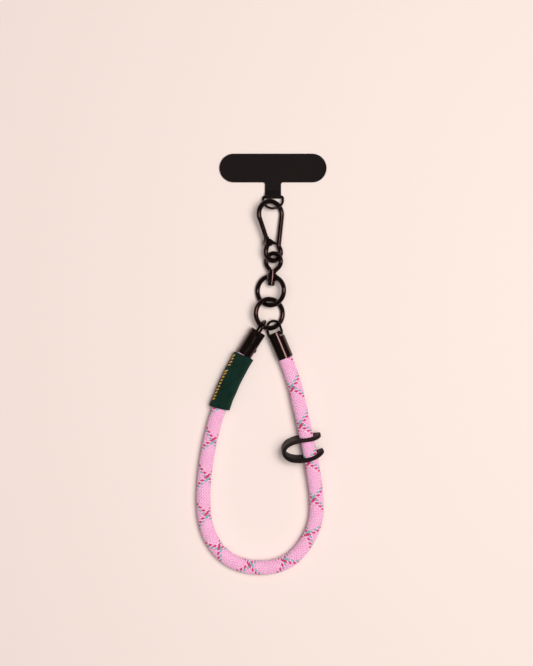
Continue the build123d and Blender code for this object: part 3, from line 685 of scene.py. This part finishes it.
class STRAP_OT_label(bpy.types.Operator):
    """Sew the creased label sleeve round the rope, with its row of gold stitches"""
    bl_idname = "strap.label"
    bl_label = "Label"

    def execute(self, context):
        settings = context.scene.strap_label
        line = RopeLine()
        seed = random.Random(5)
        first = line.length - CAP_INSIDE - settings.start
        rows = SLEEVE_ROWS
        sides = SLEEVE_SIDES
        turn = np.arange(sides) * 2 * math.pi / sides
        # phase, pace along, folds round and size of each wrinkle
        wrinkles = [
            (seed.uniform(0, 6.28), seed.uniform(1.5, 6.0), seed.randint(2, 6), seed.uniform(0.2, 1.0))
            for _ in range(WRINKLES)]

        def surface(share, angle, inset):
            """Points of the sleeve at shares of its length and angles round the rope."""
            across = np.cos(angle)
            height = np.sin(angle)
            # a lens section: creased at both sides, round above and below
            half = settings.half_width - inset
            tall = settings.half_height - inset
            flare = 1.0 + SLEEVE_FLARE * np.cos(math.pi * share) ** 8
            wide = half * across * flare
            rise = tall * np.sign(height) * np.abs(height) ** SLEEVE_ROUNDNESS * flare
            ripple = sum(size * np.sin(phase + pace * math.pi * share + number * angle)
                         for phase, pace, number, size in wrinkles) * WRINKLE_DEPTH
            from_end = np.minimum(share, 1 - share) * settings.length
            hem = -HEM_DEPTH * np.exp(-((from_end - HEM_AT) / HEM_WIDTH) ** 2)
            skew = SLEEVE_SKEW * across
            bow = SLEEVE_BOW * (1 - across ** 2)
            distance = first - share * settings.length + skew - bow * (share * 2 - 1)
            place, side, up = line.sample(distance.ravel())
            # the sewn sides keep to the outer and inner side of the loop
            wide = (wide + ripple * across).ravel()[:, None]
            rise = (rise + (ripple + hem) * np.abs(height)).ravel()[:, None]
            return place + side * wide + up * np.maximum(rise, -place[:, 2:3] + FLOOR_CLEAR)

        share, angle = np.meshgrid(np.linspace(0, 1, rows), turn, indexing="ij")
        outside = surface(share, angle, 0.0)
        inside = surface(share, angle, CLOTH)
        count = rows * sides
        grid = np.arange(count).reshape(rows, sides)
        beside = np.roll(grid, -1, axis=1)
        out_faces = np.stack([grid[:-1], grid[1:], beside[1:], beside[:-1]], axis=-1).reshape(-1, 4)
        in_faces = out_faces[:, ::-1] + count
        rim_faces = []
        for row, flip in ((0, False), (rows - 1, True)):
            quads = np.stack([grid[row], beside[row], beside[row] + count, grid[row] + count], axis=-1)
            rim_faces.append(quads[:, ::-1] if flip else quads)
        faces = np.concatenate([out_faces, in_faces, *rim_faces]).tolist()
        perimeter = 2 * math.pi * math.sqrt((settings.half_width ** 2 + settings.half_height ** 2) / 2)
        along = share.ravel() * settings.length / MM
        around = angle.ravel() / (2 * math.pi) * perimeter / MM
        uv = np.stack([along, around], axis=-1)
        sleeve = add_mesh("label_sleeve_cloth", np.concatenate([outside, inside]), faces,
                          weave_finish(settings), np.concatenate([uv, uv]))
        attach(sleeve, "strap")
        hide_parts("label_sleeve")

        marks = self.stitches(settings, surface, seed)
        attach(marks, "strap")
        return {"FINISHED"}

    def stitches(self, settings, surface, seed):
        """Short satin-stitched bars in a row along the outer crease, without any lettering."""
        grids = []
        middle_angle = math.radians(MARK_ANGLE)
        for number in range(settings.marks):
            if number == MARK_LEFT_OUT:
                continue
            share = MARK_FIRST + MARK_SPAN * number / (settings.marks - 1)
            reach = math.radians(seed.uniform(8.0, 12.0))
            slant = seed.uniform(0.2, 0.75) * MM / settings.length
            for thread in (-1, 0, 1):
                steps = np.linspace(-1, 1, 9)
                angle = middle_angle + steps * reach
                at = share + steps * slant + thread * THREAD_PITCH / settings.length
                rise = (1 - steps ** 4) * THREAD_RISE - THREAD_SINK
                lifted = np.stack([surface(at, angle, 0.0), surface(at, angle, -1.0 * MM)])
                outward = unit(lifted[1] - lifted[0])
                centres = lifted[0] + outward * rise[:, None]
                tube = tube_grid(centres, outward, THREAD_HALF_WIDTH, THREAD_HALF_THICK, 8)
                grids.append((*tube, np.full(len(tube[0]), 0.5)))
        points, faces, uvs, shades_and_tones = join_grids(grids)
        return add_mesh("label_stitches", points, faces, thread_finish(settings.gold), uvs, shades_and_tones)


class STRAP_OT_fittings(bpy.types.Operator):
    """Plate the metal fittings and give the hidden gate spring its bare steel"""
    bl_idname = "strap.fittings"
    bl_label = "Fittings"

    def execute(self, context):
        settings = context.scene.strap_fittings
        plating = plating_finish(settings)
        steel = steel_finish("spring_wire", (0.5, 0.5, 0.52), 0.28)
        screw = steel_finish("screw_black", (0.03, 0.028, 0.03), 0.35)
        for name in METAL_NODES:
            dress(name, plating)
        for name in ("cap_screw_left", "cap_screw_right"):
            dress(name, screw)
        dress("gate_spring", steel)
        return {"FINISHED"}


class STRAP_OT_patch(bpy.types.Operator):
    """Finish the tether patch: skin, woven core and adhesive back"""
    bl_idname = "strap.patch"
    bl_label = "Patch"

    def execute(self, context):
        settings = context.scene.strap_patch
        dress("patch_face", patch_finish(settings))
        dress("patch_core", core_finish((0.03, 0.03, 0.03)))
        dress("patch_backing", patch_finish(settings, "patch_adhesive", 0.7))
        return {"FINISHED"}


class STRAP_OT_keeper(bpy.types.Operator):
    """Soften the keeper's cut edges and give it its leather"""
    bl_idname = "strap.keeper"
    bl_label = "Keeper"

    def execute(self, context):
        settings = context.scene.strap_keeper
        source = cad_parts["keeper_strap"]
        mesh = source.data.copy()
        strap = bpy.data.objects.new("keeper_leather", mesh)
        strap.matrix_world = source.matrix_world.copy()
        context.scene.collection.objects.link(strap)
        remesh = strap.modifiers.new("even", "REMESH")
        remesh.mode = "VOXEL"
        remesh.voxel_size = settings.grain
        soften = strap.modifiers.new("soften", "SMOOTH")
        soften.iterations = SMOOTH_PASSES
        graph = context.evaluated_depsgraph_get()
        softened = bpy.data.meshes.new_from_object(strap.evaluated_get(graph))
        strap.modifiers.clear()
        strap.data = softened
        softened.polygons.foreach_set("use_smooth", [True] * len(softened.polygons))
        softened.materials.clear()
        softened.materials.append(leather_finish(settings))
        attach(strap, "keeper")
        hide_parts("keeper_strap")
        return {"FINISHED"}


class STRAP_PT_panel(bpy.types.Panel):
    """Every step of the strap, with its settings"""
    bl_idname = "STRAP_PT_panel"
    bl_label = "Wrist strap"
    bl_space_type = "VIEW_3D"
    bl_region_type = "UI"
    bl_category = "Strap"

    def draw(self, context):
        for name, kind in STEPS:
            box = self.layout.box()
            box.operator(kind.bl_idname)
            settings = getattr(context.scene, name)
            for key in settings.__annotations__:
                box.prop(settings, key)


STEPS = (
    ("strap_stage", STRAP_OT_stage),
    ("strap_rope", STRAP_OT_rope),
    ("strap_label", STRAP_OT_label),
    ("strap_fittings", STRAP_OT_fittings),
    ("strap_patch", STRAP_OT_patch),
    ("strap_keeper", STRAP_OT_keeper),
)
SETTINGS = {
    "strap_stage": StageSettings,
    "strap_rope": RopeSettings,
    "strap_label": LabelSettings,
    "strap_fittings": FittingSettings,
    "strap_patch": PatchSettings,
    "strap_keeper": KeeperSettings,
}
CLASSES = (*SETTINGS.values(), *(kind for _, kind in STEPS), STRAP_PT_panel)


def register():
    for kind in CLASSES:
        bpy.utils.register_class(kind)
    for name, kind in SETTINGS.items():
        setattr(bpy.types.Scene, name, PointerProperty(type=kind))


def unregister():
    for name in SETTINGS:
        delattr(bpy.types.Scene, name)
    for kind in reversed(CLASSES):
        bpy.utils.unregister_class(kind)


def main():
    register()
    bpy.ops.strap.stage()
    bpy.ops.strap.rope()
    bpy.ops.strap.label()
    bpy.ops.strap.fittings()
    bpy.ops.strap.patch()
    bpy.ops.strap.keeper()


if __name__ == "__main__":
    main()
